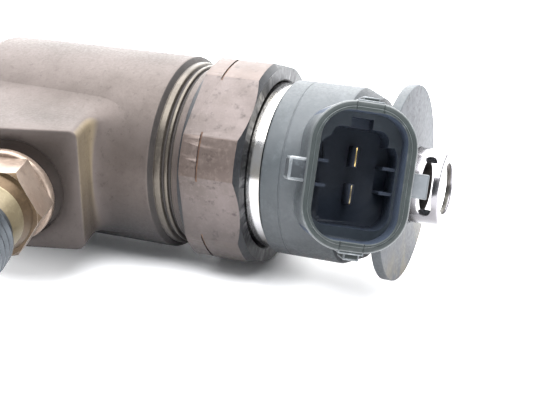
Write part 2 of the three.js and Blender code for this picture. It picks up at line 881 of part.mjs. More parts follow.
add("nozzle_spring", nozzleSpring(), FINISH.springSteel);
add("nozzle_spring_shim", nozzleSpringShim(), FINISH.grindSteel);
add("nozzle_needle", nozzleNeedle(), FINISH.grindSteel);
add("nozzle_body", nozzleBody(), FINISH.darkSteel);
add("nozzle_dowel_1", nozzleDowel(1), FINISH.grindSteel);
add("nozzle_dowel_2", nozzleDowel(-1), FINISH.grindSteel);
add("nozzle_retaining_nut", retainingNut(), FINISH.brownSteel);
add("sealing_washer", sealingWasher(), FINISH.copper);

export default part;
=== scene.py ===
"""The looks of the diesel injector: fine geometry and procedural finishes over the CAD frame."""
import json
import math

import bmesh
import bpy
from mathutils import Matrix, Vector


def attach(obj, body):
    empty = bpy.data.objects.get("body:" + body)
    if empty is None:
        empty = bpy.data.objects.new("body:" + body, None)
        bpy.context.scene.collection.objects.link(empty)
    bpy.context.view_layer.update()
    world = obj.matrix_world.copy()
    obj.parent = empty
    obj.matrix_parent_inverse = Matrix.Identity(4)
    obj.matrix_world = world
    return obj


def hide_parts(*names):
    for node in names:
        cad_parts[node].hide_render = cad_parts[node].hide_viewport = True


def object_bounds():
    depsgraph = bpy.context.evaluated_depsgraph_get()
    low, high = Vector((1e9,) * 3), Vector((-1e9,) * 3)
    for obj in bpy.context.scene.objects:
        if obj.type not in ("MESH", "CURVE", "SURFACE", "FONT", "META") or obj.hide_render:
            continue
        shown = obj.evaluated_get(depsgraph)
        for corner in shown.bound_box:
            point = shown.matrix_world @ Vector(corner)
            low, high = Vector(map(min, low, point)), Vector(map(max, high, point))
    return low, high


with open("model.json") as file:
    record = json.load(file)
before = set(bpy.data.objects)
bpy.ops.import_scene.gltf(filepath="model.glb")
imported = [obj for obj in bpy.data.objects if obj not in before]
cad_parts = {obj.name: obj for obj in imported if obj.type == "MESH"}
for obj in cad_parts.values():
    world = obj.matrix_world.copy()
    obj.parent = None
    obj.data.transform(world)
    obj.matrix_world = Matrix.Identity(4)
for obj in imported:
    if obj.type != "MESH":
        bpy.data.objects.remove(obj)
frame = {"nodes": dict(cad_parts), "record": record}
cad_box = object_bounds()

MM = 0.001  # shapes are written in millimetres
HEAD = 142.0  # along the injector, from the copper washer's seat to the start of the plastic head
FINE = 160  # sides of a turned surface
ROUND = math.pi / 180  # one degree
CAMERA_AZIMUTH = 21.714 * ROUND
CAMERA_ELEVATION = 23.349 * ROUND

# ---- shapes in millimetres, along the injector's axis ----


def turn_matrix(x, up, lean):
    """Local Z runs out along a side branch, and local X points towards the head."""
    out = Vector((math.sin(lean), -math.cos(lean) * math.cos(up), math.cos(lean) * math.sin(up)))
    side = Vector((0, math.sin(up), math.cos(up)))
    along = side.cross(out).normalized()
    matrix = Matrix((along, side, out)).transposed().to_4x4()
    matrix.translation = Vector((x, 0, 0))
    return matrix


PLUG_TURN = 22.5 * ROUND  # how far the socket is turned up round the injector
CONNECTOR = turn_matrix(HEAD + 7.3, PLUG_TURN, 23.67 * ROUND)
INLET = turn_matrix(HEAD - 39.1, 0, 13.8 * ROUND)
ALONG_X = Matrix(((0, 0, 1, 0), (1, 0, 0, 0), (0, 1, 0, 0), (0, 0, 0, 1)))


def soften(outline, radius, steps=3):
    """Rounds each inner corner of an outline of (position, radius) pairs."""
    points = [Vector(p) for p in outline]
    result = [points[0]]
    for before, here, after in zip(points, points[1:], points[2:]):
        back, ahead = before - here, after - here
        reach = min(radius, back.length * 0.45, ahead.length * 0.45)
        if reach < 0.01:
            result.append(here)
            continue
        start = here + back.normalized() * reach
        end = here + ahead.normalized() * reach
        for i in range(steps + 1):
            t = i / steps
            point = start * (1 - t) ** 2 + here * 2 * t * (1 - t) + end * t ** 2
            result.append(point)
    result.append(points[-1])
    return [(p[0], p[1]) for p in result]


def new_object(name, bm, matrix=None, sharp=32):
    """A mesh object from millimetre geometry, smooth except along its sharp edges."""
    bmesh.ops.remove_doubles(bm, verts=bm.verts, dist=0.0004)
    bmesh.ops.recalc_face_normals(bm, faces=bm.faces)
    if matrix is not None:
        bm.transform(matrix)
    bm.transform(Matrix.Scale(MM, 4))
    mark_sharp(bm, sharp)
    mesh = bpy.data.meshes.new(name)
    bm.to_mesh(mesh)
    bm.free()
    obj = bpy.data.objects.new(name, mesh)
    bpy.context.scene.collection.objects.link(obj)
    return obj


def mark_sharp(bm, degrees):
    for face in bm.faces:
        face.smooth = True
    limit = degrees * ROUND
    for edge in bm.edges:
        if len(edge.link_faces) == 2:
            edge.smooth = edge.calc_face_angle(0) < limit


def lathe(bm, outline, sides=FINE, closed=False):
    """Adds a surface turned about local Z. The outline lists (z, radius)."""
    rings = []
    for z, r in outline:
        if r < 1e-6:
            rings.append([bm.verts.new((0, 0, z))])
            continue
        ring = []
        for i in range(sides):
            angle = 2 * math.pi * i / sides
            ring.append(bm.verts.new((r * math.cos(angle), r * math.sin(angle), z)))
        rings.append(ring)
    pairs = list(zip(rings, rings[1:]))
    if closed:
        pairs.append((rings[-1], rings[0]))
    for low, high in pairs:
        bridge(bm, low, high)


def bridge(bm, low, high):
    count = max(len(low), len(high))
    for i in range(count):
        j = (i + 1) % count
        corners = []
        for ring, index in ((low, i), (low, j), (high, j), (high, i)):
            vert = ring[index % len(ring)]
            if vert not in corners:
                corners.append(vert)
        if len(corners) > 2:
            bm.faces.new(corners)


def loft(bm, loops, close_first=False, close_last=False):
    """Joins loops of equal length, given as lists of 3D points."""
    rings = [[bm.verts.new(p) for p in loop] for loop in loops]
    for low, high in zip(rings, rings[1:]):
        bridge(bm, low, high)
    if close_first:
        bm.faces.new(rings[0])
    if close_last:
        bm.faces.new(rings[-1])


def rounded_loop(half_x, half_y, corner, z, steps=14):
    points = []
    for sx, sy, first in ((1, 1, 0), (-1, 1, 90), (-1, -1, 180), (1, -1, 270)):
        for i in range(steps + 1):
            angle = (first + 90 * i / steps) * ROUND
            x = sx * (half_x - corner) + corner * math.cos(angle)
            y = sy * (half_y - corner) + corner * math.sin(angle)
            points.append(Vector((x, y, z)))
    return points


def box(bm, low, high, bevel=0.0, segments=2):
    """A block; its bevelled edges take the object's second material."""
    made = bmesh.ops.create_cube(bm, size=1)
    verts = made["verts"]
    size = Vector(high) - Vector(low)
    middle = (Vector(high) + Vector(low)) / 2
    bmesh.ops.scale(bm, vec=size, verts=verts)
    bmesh.ops.translate(bm, vec=middle, verts=verts)
    if bevel:
        edges = list({e for v in verts for e in v.link_edges})
        bmesh.ops.bevel(bm, geom=edges, offset=bevel, segments=segments, affect="EDGES",
                        profile=0.6, material=1)


def turned(name, outline, soft=0.2, matrix=ALONG_X, sides=FINE, closed=False, sharp=32):
    bm = bmesh.new()
    if closed:
        outline = outline + outline[:1]
        outline = soften(outline, soft)
        lathe(bm, outline[:-1], sides, closed=True)
    else:
        lathe(bm, soften(outline, soft), sides)
    return new_object(name, bm, matrix, sharp)


def combine(base, tool, operation):
    """Applies a boolean and removes the tool."""
    modifier = base.modifiers.new("combine", "BOOLEAN")
    modifier.operation = operation
    modifier.object = tool
    modifier.solver = "EXACT"
    bake(base)
    bpy.data.objects.remove(tool)


def bake(obj):
    """Turns an object's modifiers into plain mesh."""
    bpy.context.view_layer.update()
    graph = bpy.context.evaluated_depsgraph_get()
    mesh = bpy.data.meshes.new_from_object(obj.evaluated_get(graph))
    obj.modifiers.clear()
    old = obj.data
    obj.data = mesh
    bpy.data.meshes.remove(old)


def reshade(obj, degrees):
    bm = bmesh.new()
    bm.from_mesh(obj.data)
    mark_sharp(bm, degrees)
    bm.to_mesh(obj.data)
    bm.free()


def bevelled(obj, width, segments=2, angle=30, sharp=40, worn=None):
    """Rounds the edges, and gives the rounding the material at index worn."""
    modifier = obj.modifiers.new("bevel", "BEVEL")
    modifier.width = width * MM
    modifier.segments = segments
    modifier.limit_method = "ANGLE"
    modifier.angle_limit = angle * ROUND
    modifier.use_clamp_overlap = True
    if worn is not None:
        modifier.material = worn
    bake(obj)
    reshade(obj, sharp)


def paint(obj, materials, choose):
    """Gives each face the material whose index choose(centre, normal, index) returns, in mm."""
    before = [face.material_index for face in obj.data.polygons]
    obj.data.materials.clear()
    for material in materials:
        obj.data.materials.append(material)
    for face, index in zip(obj.data.polygons, before):
        face.material_index = choose(face.center / MM, face.normal, index)


# ---- materials ----


class Nodes:
    """A small builder for a principled material."""

    def __init__(self, name):
        self.material = bpy.data.materials.new(name)
        self.material.use_nodes = True
        self.tree = self.material.node_tree
        self.shader = self.tree.nodes["Principled BSDF"]
        self.coords = self.tree.nodes.new("ShaderNodeTexCoord")

    def add(self, kind, **settings):
        node = self.tree.nodes.new(kind)
        for key, value in settings.items():
            setattr(node, key, value)
        return node

    def link(self, source, target):
        self.tree.links.new(source, target)

    def place(self, scale):
        mapping = self.add("ShaderNodeMapping")
        mapping.inputs["Scale"].default_value = scale
        self.link(self.coords.outputs["Object"], mapping.inputs["Vector"])
        return mapping.outputs["Vector"]

    def noise(self, scale, detail=4, rough=0.55, stretch=(1, 1, 1)):
        node = self.add("ShaderNodeTexNoise")
        node.inputs["Scale"].default_value = scale
        node.inputs["Detail"].default_value = detail
        node.inputs["Roughness"].default_value = rough
        self.link(self.place(stretch), node.inputs["Vector"])
        return node.outputs["Fac"]

    def ramp(self, source, *stops):
        node = self.add("ShaderNodeValToRGB")
        elements = node.color_ramp.elements
        while len(elements) < len(stops):
            elements.new(0.5)
        for element, (position, color) in zip(elements, stops):
            element.position = position
            element.color = color if len(color) == 4 else (*color, 1)
        self.link(source, node.inputs["Fac"])
        return node.outputs["Color"]

    def grey(self, source, low, high, start=0.0, end=1.0):
        node = self.add("ShaderNodeMapRange")
        node.inputs["From Min"].default_value = start
        node.inputs["From Max"].default_value = end
        node.inputs["To Min"].default_value = low
        node.inputs["To Max"].default_value = high
        self.link(source, node.inputs["Value"])
        return node.outputs["Result"]

    def mix(self, factor, first, second):
        node = self.add("ShaderNodeMix", data_type="RGBA")
        if isinstance(factor, (int, float)):
            node.inputs["Factor"].default_value = factor
        else:
            self.link(factor, node.inputs["Factor"])
        for source, socket in ((first, "A"), (second, "B")):
            target = [s for s in node.inputs if s.name == socket and s.type == "RGBA"][0]
            if isinstance(source, tuple):
                target.default_value = (*source, 1)
            else:
                self.link(source, target)
        return [s for s in node.outputs if s.type == "RGBA"][0]

    def maths(self, operation, first, second=None):
        node = self.add("ShaderNodeMath", operation=operation)
        for index, source in enumerate((first, second)):
            if source is None:
                continue
            if isinstance(source, (int, float)):
                node.inputs[index].default_value = source
            else:
                self.link(source, node.inputs[index])
        return node.outputs["Value"]

    def along(self, vector, direction):
        """How far a vector reaches in a direction."""
        node = self.add("ShaderNodeVectorMath", operation="DOT_PRODUCT")
        self.link(vector, node.inputs[0])
        node.inputs[1].default_value = direction
        return node.outputs["Value"]

    def grime_and_painted_shade(self, color, amount=0.7):
        """Painted shade with grime: darkens a colour towards the underside of the part, in patches."""
        height = self.along(self.coords.outputs["Object"], Vector((0, 0, 1)))
        patches = self.grey(self.noise(90, 4), 0.8, 1.1, 0.35, 0.65)
        factor = self.maths("MULTIPLY", self.grey(height, amount, 0, -13 * MM, 1 * MM), patches)
        return self.mix(factor, color, (0.008, 0.008, 0.0095))

    def bump(self, height, strength, distance):
        node = self.add("ShaderNodeBump")
        node.inputs["Strength"].default_value = strength
        node.inputs["Distance"].default_value = distance * MM
        self.link(height, node.inputs["Height"])
        self.link(node.outputs["Normal"], self.shader.inputs["Normal"])

    def set(self, **values):
        names = {"color": "Base Color", "rough": "Roughness", "metal": "Metallic",
                 "specular": "Specular IOR Level", "glow": "Emission Color"}
        for key, value in values.items():
            socket = self.shader.inputs[names[key]]
            if isinstance(value, tuple):
                socket.default_value = (*value, 1)
            elif isinstance(value, (int, float)):
                socket.default_value = value
            else:
                self.link(value, socket)


def worn_steel(name, light, dark, rough=(0.35, 0.6), metal=0.8, grain=900, pits=0.25, patch=150):
    """Machined steel under a thin uneven film, with fine pits and grain, and painted shade with grime
    towards the bottom.
    """
    n = Nodes(name)
    cloud = n.noise(patch, 6, 0.62)
    broad = n.noise(patch * 0.3, 3, 0.5)
    film = n.ramp(n.maths("ADD", n.maths("MULTIPLY", cloud, 0.6), n.maths("MULTIPLY", broad, 0.4)),
                  (0.38, dark), (0.62, light))
    speckle = n.noise(grain, 3, 0.7)
    spots = n.grey(speckle, 0, pits, 0.56, 0.7)
    color = n.mix(spots, film, tuple(c * 0.3 for c in dark))
    fine = n.noise(grain * 2.5, 2, 0.6)
    color = n.mix(n.grey(fine, 0, 0.3, 0.5, 0.75), color, tuple(min(1, c * 1.6) for c in light))
    n.set(color=n.grime_and_painted_shade(color), metal=metal, rough=n.grey(fine, rough[0], rough[1], 0.3, 0.7),
          specular=0.2)
    n.bump(n.maths("ADD", fine, speckle), 0.2, 0.04)
    return n.material


def body_finish():
    """The body's brown-grey film, with painted shade on the pad's face and underneath, a painted yellow
    highlight on the wall beside the pad, and painted shade with grime towards the bottom.
    """
    n = Nodes("body_steel_look")
    cloud = n.maths("ADD", n.maths("MULTIPLY", n.noise(130, 6, 0.62), 0.6),
                    n.maths("MULTIPLY", n.noise(36, 3), 0.4))
    color = n.ramp(cloud, (0.36, (0.051, 0.0416, 0.0369)), (0.64, (0.079, 0.0655, 0.0603)))
    geometry = n.add("ShaderNodeNewGeometry").outputs["Normal"]
    inlet_axis = INLET.to_3x3() @ Vector((0, 0, 1))
    inlet_side = INLET.to_3x3() @ Vector((1, 0, 0))
    start = INLET.translation.dot(inlet_axis)
    reach = n.along(n.coords.outputs["Object"], inlet_axis)
    # Painted shade: the pad's outer face, turned out along the inlet, is mixed towards a darker brown.
    face = n.maths("MULTIPLY", n.grey(reach, 0, 1, (start + 18.5) * MM, (start + 22) * MM),
                   n.grey(n.along(geometry, inlet_axis), 0, 1, 0.5, 0.9))
    color = n.mix(n.maths("MULTIPLY", face, 0.2), color, (0.026, 0.0239, 0.0234))
    # Painted highlight: the wall beside the pad, turned towards the head, is made lighter and yellow,
    # fading out downwards.
    along_body = n.along(n.coords.outputs["Object"], Vector((1, 0, 0)))
    near = n.maths("MULTIPLY", n.grey(along_body, 1, 0, (HEAD - 27) * MM, (HEAD - 22) * MM),
                   n.grey(along_body, 0, 1, (HEAD - 41) * MM, (HEAD - 38) * MM))
    wall = n.maths("MULTIPLY", n.grey(n.along(geometry, inlet_side), 0, 0.95, 0.45, 0.85), near)
    height = n.along(n.coords.outputs["Object"], Vector((0, 0, 1)))
    wall = n.maths("MULTIPLY", wall, n.grey(height, 0.05, 1, -8 * MM, 3 * MM))
    color = n.mix(wall, color, (0.25, 0.2, 0.125))
    # Painted shade with grime: faces turned down are darkened in noisy patches.
    under = n.grey(n.along(geometry, Vector((0, 0, 1))), 1, 0, -0.7, -0.12)
    low = n.maths("MULTIPLY", under, n.grey(n.noise(60, 4), 0.55, 0.85, 0.35, 0.65))
    color = n.mix(low, color, (0.0125, 0.0128, 0.0142))
    speckle = n.noise(1100, 3, 0.7)
    color = n.mix(n.grey(speckle, 0, 0.3, 0.58, 0.7), color, (0.026, 0.0208, 0.0182))
    fine = n.noise(2600, 2, 0.6)
    n.set(color=n.grime_and_painted_shade(color, 0.58), metal=0.45, rough=n.grey(fine, 0.42, 0.58, 0.3, 0.7),
          specular=0.15)
    n.bump(n.maths("ADD", fine, speckle), 0.2, 0.04)
    return n.material


def edge_worn(name, base, shine, metal=0.8, rough=(0.25, 0.45), share=0.5):
    """The rubbed rounding of an edge: patches of it worn down to a brighter surface."""
    n = Nodes(name)
    patches = n.grey(n.noise(420, 5, 0.7), 0, 1, 0.62 - share * 0.3, 0.78 - share * 0.3)
    color = n.mix(patches, base, shine)
    fine = n.noise(2400, 2)
    n.set(color=color, metal=metal, rough=n.grey(fine, rough[0], rough[1], 0.3, 0.7))
    n.bump(fine, 0.15, 0.03)
    return n.material


def ground_steel(name, tint, rough=(0.18, 0.32)):
    n = Nodes(name)
    marks = n.noise(1800, 3, 0.6, stretch=(1, 0.04, 0.04))
    cloud = n.noise(120, 4)
    color = n.ramp(cloud, (0.3, tuple(c * 0.8 for c in tint)), (0.7, tint))
    n.set(color=color, metal=1.0, rough=n.grey(marks, rough[0], rough[1], 0.3, 0.7))
    n.bump(marks, 0.12, 0.02)
    return n.material


def plastic(name, light, dark, rough=(0.42, 0.6), dusty=0.3, specular=0.25):
    """Moulded plastic with fine grain and a dusty, rubbed film, and painted shade with grime towards the
    bottom.
    """
    n = Nodes(name)
    cloud = n.noise(170, 5, 0.6)
    grain = n.noise(2600, 3, 0.6)
    film = n.ramp(cloud, (0.32, dark), (0.72, light))
    dust = n.grey(n.noise(420, 6, 0.75), 0, dusty, 0.52, 0.75)
    color = n.mix(dust, film, tuple(min(1, c * 1.9 + 0.012) for c in light))
    n.set(color=n.grime_and_painted_shade(color, 0.55), metal=0.0, rough=n.grey(grain, rough[0], rough[1], 0.3, 0.7),
          specular=specular)
    n.bump(n.maths("ADD", grain, cloud), 0.15, 0.025)
    return n.material


def stained_face_painted_light(name, pale_lit, stain):
    """The flange's outer face: paler than the rest of the plastic as painted light, with dark stains near
    the top and a yellow one low down, and painted shade with grime towards the bottom.
    """
    n = Nodes(name)
    split = n.add("ShaderNodeSeparateXYZ")
    n.link(n.coords.outputs["Object"], split.inputs["Vector"])
    upper = n.grey(split.outputs["Z"], 0, 1, 0.004, 0.012)
    spots = n.grey(n.noise(700, 6, 0.75), 0, 1, 0.52, 0.66)
    lower = n.grey(split.outputs["Z"], 1, 0, -0.012, -0.006)
    patch = n.grey(n.noise(200, 4, 0.6), 0, 0.35, 0.45, 0.6)
    color = n.mix(n.grey(n.noise(160, 5), 0, 0.35, 0.4, 0.7), pale_lit, tuple(c * 0.6 for c in pale_lit))
    color = n.mix(n.maths("MULTIPLY", upper, spots), color, stain)
    color = n.mix(n.maths("MULTIPLY", lower, patch), color, (0.2, 0.16, 0.08))
    grain = n.noise(2200, 3)
    n.set(color=n.grime_and_painted_shade(color, 0.3), metal=0.0, rough=n.grey(grain, 0.5, 0.65, 0.3, 0.7), specular=0.1)
    n.bump(grain, 0.12, 0.02)
    return n.material


def bright_metal(name, tint, stain, rough=(0.1, 0.24)):
    n = Nodes(name)
    cloud = n.noise(140, 4, 0.6)
    color = n.ramp(cloud, (0.34, stain), (0.56, tint))
    marks = n.noise(1600, 3, 0.6, stretch=(1, 0.06, 0.06))
    n.set(color=color, metal=1.0, rough=n.grey(marks, rough[0], rough[1], 0.3, 0.75))
    n.bump(marks, 0.03, 0.01)
    return n.material


def floor_finish():
    """A pale table with painted light: it glows faintly beside the injector and under the plastic head, but
    not close to where the heavy steel end rests on it.
    """
    n = Nodes("pale_table")
    cloud = n.noise(7, 5, 0.6)
    grain = n.noise(500, 3)
    color = n.ramp(cloud, (0.35, (0.84, 0.835, 0.845)), (0.65, (0.88, 0.88, 0.89)))
    n.set(color=color, metal=0.0, rough=n.grey(grain, 0.4, 0.55))
    # Painted light: emission that lifts the table's shadows away from where the steel end rests.
    glow = 0.45
    position = n.coords.outputs["Object"]
    aside = n.maths("ABSOLUTE", n.along(position, Vector((0, 1, 0))))
    beside = n.grey(aside, 0, glow, 6 * MM, 17 * MM)
    under_head = n.grey(n.along(position, Vector((1, 0, 0))), 0, glow,
                        (HEAD - 2) * MM, (HEAD + 5) * MM)
    n.link(n.maths("MAXIMUM", beside, under_head), n.shader.inputs["Emission Strength"])
    n.set(glow=(1, 1, 1))
    n.bump(grain, 0.05, 0.05)
    return n.material


BODY = body_finish()
NECK_BAND = worn_steel("neck_land_look", (0.08, 0.07, 0.058), (0.05, 0.043, 0.036), (0.28, 0.4), 0.75)
# Painted shade for the neck's end chamfer and its grooves.
NECK_SHADE = worn_steel("neck_groove_look", (0.0312, 0.027, 0.025), (0.0182, 0.0156, 0.0146), (0.5, 0.7), 0.3)
NUT = worn_steel("nut_steel_look", (0.094, 0.078, 0.074), (0.061, 0.05, 0.045), (0.42, 0.58), 0.45,
                 grain=620, pits=0.6, patch=200)
NUT_TURNED = worn_steel("nut_corner_look", (0.086, 0.068, 0.061), (0.06, 0.046, 0.04),
                        (0.36, 0.52), 0.5, grain=620, pits=0.4, patch=200)
NUT_DARK = worn_steel("nut_end_look", (0.021, 0.0215, 0.0235), (0.0125, 0.0132, 0.0142), (0.32, 0.45), 0.4)
NUT_WORN = edge_worn("nut_edge_look", (0.135, 0.104, 0.0936), (0.312, 0.281, 0.276))
RUST = edge_worn("rust_look", (0.052, 0.026, 0.0156), (0.0884, 0.0468, 0.026), 0.2, (0.7, 0.9))
INLET_STEEL = worn_steel("inlet_steel_look", (0.218, 0.172, 0.14), (0.146, 0.104, 0.078), (0.3, 0.45), 0.6)
INLET_DARK = worn_steel("inlet_dark_look", (0.0624, 0.0416, 0.0234), (0.0364, 0.0234, 0.0135),
                        (0.35, 0.5), 0.6)
INLET_WORN = edge_worn("inlet_edge_look", (0.166, 0.13, 0.104), (0.354, 0.322, 0.296))
BRASSY = worn_steel("inlet_ring_look", (0.172, 0.145, 0.092), (0.115, 0.092, 0.056), (0.32, 0.46), 0.6)
THREAD = worn_steel("thread_steel_look", (0.068, 0.074, 0.081), (0.037, 0.041, 0.044), (0.3, 0.45), 0.8)
GROUND = ground_steel("ground_steel_look", (0.286, 0.291, 0.296))
SPRING = ground_steel("spring_steel_look", (0.166, 0.172, 0.182), (0.25, 0.4))
CHROME = bright_metal("bright_metal_look", (0.32, 0.317, 0.32), (0.29, 0.268, 0.23))
SLEEVE = bright_metal("sleeve_look", (0.175, 0.17, 0.178), (0.13, 0.122, 0.126), (0.16, 0.28))
SLEEVE_INSIDE = bright_metal("sleeve_inside_look", (0.15, 0.138, 0.13), (0.05, 0.052, 0.042), (0.3, 0.45))
PLASTIC = plastic("head_plastic_look", (0.046, 0.051, 0.055), (0.029, 0.034, 0.037))
PLASTIC_LIGHT = plastic("lug_plastic_look", (0.12, 0.128, 0.136), (0.08, 0.088, 0.095), dusty=0.3)
PLASTIC_SCUFFED = plastic("scuffed_lug_look", (0.026, 0.03, 0.034), (0.012, 0.014, 0.016), dusty=0.8)
PLASTIC_DEEP = plastic("head_recess_look", (0.018, 0.021, 0.024), (0.011, 0.013, 0.015), specular=0.15)
LUG_EDGE = edge_worn("lug_edge_look", (0.055, 0.062, 0.067), (0.14, 0.15, 0.155), 0.0, (0.4, 0.55), 0.45)
RIM_EDGE = edge_worn("rim_edge_look", (0.03, 0.035, 0.036), (0.08, 0.088, 0.09), 0.0, (0.4, 0.55), 0.2)
RIM = plastic("rim_plastic_look", (0.016, 0.021, 0.0205), (0.011, 0.0145, 0.0145), dusty=0.3)
# Painted shade: darker, bluer copies of the head's plastic for the socket's floor, walls, ledge and inner
# edges.
SOCKET_SHADE = plastic("socket_inside_look", (0.024, 0.0315, 0.047), (0.018, 0.0235, 0.035), dusty=0.1,
                 specular=0.2)
SOCKET_WALL_SHADE = plastic("socket_wall_look", (0.034, 0.043, 0.06), (0.025, 0.0315, 0.045), dusty=0.1,
                      specular=0.06)
SOCKET_EDGE_SHADE = plastic("socket_edge_look", (0.027, 0.034, 0.042), (0.018, 0.023, 0.029), dusty=0.2)
# Painted light: the flange's outer face gets a paler base than the head's plastic; its stains are its own.
DISC_FACE = stained_face_painted_light("flange_face_look", (0.064, 0.067, 0.073), (0.016, 0.016, 0.017))
BOBBIN = plastic("bobbin_plastic_look", (0.234, 0.198, 0.135), (0.187, 0.156, 0.104))
RUBBER = plastic("seal_rubber_look", (0.0104, 0.0104, 0.0109), (0.0062, 0.0062, 0.0068), (0.6, 0.8))
# Painted shade: the blades' sides inside the socket get a dark bluish plastic.
PIN_SIDE_SHADE = plastic("pin_side_look", (0.05, 0.057, 0.075), (0.036, 0.042, 0.057), dusty=0.1, specular=0.1)
GOLD = ground_steel("pin_gold_look", (0.36, 0.265, 0.11), (0.18, 0.32))
GOLD_WORN = ground_steel("pin_worn_gold_look", (0.2, 0.165, 0.1), (0.25, 0.4))
COPPER = ground_steel("copper_look", (0.322, 0.166, 0.0936), (0.25, 0.45))


def finish_with(obj, material):
    obj.data.materials.clear()
    obj.data.materials.append(material)


def piece(obj, node, material, body="injector"):
    """Puts a finished piece in place of its CAD node."""
    if not obj.data.materials:
        finish_with(obj, material)
    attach(obj, body)
    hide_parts(node)


def join_pieces(name, objects):
    """Joins objects and keeps the materials of each."""
    materials = []
    bm = bmesh.new()
    for obj in objects:
        for material in obj.data.materials:
            if material not in materials:
                materials.append(material)
        indices = [materials.index(material) for material in obj.data.materials]
        first = len(bm.faces)
        bm.from_mesh(obj.data)
        bm.faces.ensure_lookup_table()
        for face in bm.faces[first:]:
            face.material_index = indices[face.material_index]
    mesh = bpy.data.meshes.new(name)
    bm.to_mesh(mesh)
    bm.free()
    for material in materials:
        mesh.materials.append(material)
    for obj in objects:
        bpy.data.objects.remove(obj)
    joined = bpy.data.objects.new(name, mesh)
    bpy.context.scene.collection.objects.link(joined)
    return joined


# ---- injector body ----

BODY_R = 14.54
WAIST_R = 11.6
BODY_START = HEAD - 72  # the waist with the clamp flats
WIDE_START = HEAD - 48.1
WIDENING = 5.8  # length of the cone from the waist to the wide part
BODY_END = HEAD - 16.53  # of the wide part; the stepped neck follows
INLET_FACE = 23.2  # of the pad, along the inlet from the injector's axis


def body_outline():
    """Shank, waist, wide part and stepped neck, then back along the bore, as (position, radius)."""
    end = BODY_END
    return [
        (26.3, 5), (26.3, 7.1), (27, 7.2), (37, 7.2), (37, 6.8), (38.4, 6.8), (38.4, 8.5),
        (BODY_START - 4, 8.5), (BODY_START, WAIST_R), (WIDE_START - WIDENING, WAIST_R),
        (WIDE_START - 0.6, BODY_R - 0.3), (WIDE_START + 0.4, BODY_R), (end, BODY_R),
        (end + 0.55, 13.82), (end + 0.62, 13.74), (end + 0.8, 13.8), (end + 1.6, 13.75),
        (end + 1.8, 13.2), (end + 2.1, 13.2), (end + 2.15, 13.45), (end + 2.65, 13.45),
        (end + 2.7, 12.95), (end + 3.1, 12.95), (end + 3.15, 13.3), (HEAD - 9.6, 13.3),
        (HEAD - 9.6, 9.5), (27.3, 5), (26.3, 5),
    ]


def clamp_cutters():
    """Cuts the two flats that the fork of the clamp holds."""
    cutters = []
    for low, high in ((9, 20), (-20, -9)):
        bm = bmesh.new()
        box(bm, (BODY_START + 5, -20, low), (BODY_START + 15, 20, high))
        cutters.append(new_object("clamp_cut", bm))
    return cutters


def pad_outline(half_a, half_b, corner, side=16, arc=6):
    """Points round a rounded rectangle, spaced along its sides too, each with its outward normal."""
    points = []
    corners = ((1, 1, 0), (-1, 1, 90), (-1, -1, 180), (1, -1, 270))
    for index, (sa, sb, first) in enumerate(corners):
        centre = Vector((sa * (half_a - corner), sb * (half_b - corner)))
        for i in range(arc + 1):
            angle = (first + 90 * i / arc) * ROUND
            normal = Vector((math.cos(angle), math.sin(angle)))
            points.append((centre + normal * corner, normal))
        start, normal = points[-1]
        ta, tb, _ = corners[(index + 1) % 4]
        next_centre = Vector((ta * (half_a - corner), tb * (half_b - corner)))
        end = next_centre + normal * corner
        for i in range(1, side):
            points.append((start.lerp(end, i / side), normal))
    return points


def body_radius(x):
    """Outer radius of the body near the inlet."""
    narrowing = (WIDE_START - x) / WIDENING
    return BODY_R - (BODY_R - WAIST_R) * min(1, max(0, narrowing))


def wall_foot(point, top):
    """How far out along the inlet a wall of the pad meets the body."""
    low, high = 2.0, top
    for _ in range(40):
        middle = (low + high) / 2
        place = INLET @ Vector((point[0], point[1], middle))
        if math.hypot(place.y, place.z) < body_radius(place.x):
            low = middle
        else:
            high = middle
    return low


def fillet_points(point, normal, top, reach, steps=9):
    """From the wall down a hollow curve on to the cylinder."""
    foot = wall_foot(point, top)
    start = INLET @ Vector((point[0], point[1], top))
    corner = INLET @ Vector((point[0], point[1], foot))
    outward = (INLET.to_3x3() @ Vector((normal[0], normal[1], 0))).normalized()
    end = corner + outward * reach
    scale = (body_radius(end.x) - 0.04) / math.hypot(end.y, end.z)
    end = Vector((end.x, end.y * scale, end.z * scale))
    curve = []
    for i in range(1, steps + 1):
        t = i / steps
        curve.append(start * (1 - t) ** 2 + corner * 2 * t * (1 - t) + end * t ** 2)
    return curve


def inlet_pad():
    """The square pad round the inlet, blended into the cylinder by a hollow curve."""
    outline = pad_outline(10, 9.05, 1.3)
    crease = INLET_FACE - 4.4
    flat_loops = []
    for radius, depth in ((5, 6), (5, 1.2), (7.3, 1.2), (7.3, 0.2), (7.5, 0)):
        ring = []
        for point, _ in outline:
            angle = math.atan2(point[1], point[0])
            ring.append((radius * math.cos(angle), radius * math.sin(angle), INLET_FACE - depth))
        flat_loops.append(ring)
    for inset, depth in ((0.35, 0), (0.12, 0.07), (0, 0.3)):
        flat_loops.append([(*(point - normal * inset), INLET_FACE - depth) for point, normal in outline])
    flat_loops.append([(*point, crease + 0.25) for point, _ in outline])
    loops = [[INLET @ Vector(p) for p in loop] for loop in flat_loops]
    curves = [fillet_points(point, normal, crease, 6.5) for point, normal in outline]
    loops += [list(ring) for ring in zip(*curves)]
    bm = bmesh.new()
    loft(bm, loops)
    return new_object("inlet_pad", bm, sharp=50)


def injector_body():
    body = turned("injector_body_fine", body_outline(), soft=0.22, sides=220)
    for cutter in clamp_cutters():
        combine(body, cutter, "DIFFERENCE")
    bevelled(body, 0.2, 2, 40, 45)
    pad = inlet_pad()
    paint(body, [BODY, NECK_BAND, NECK_SHADE], neck_finish)
    finish_with(pad, BODY)
    return join_pieces("injector_body_full", [body, pad])


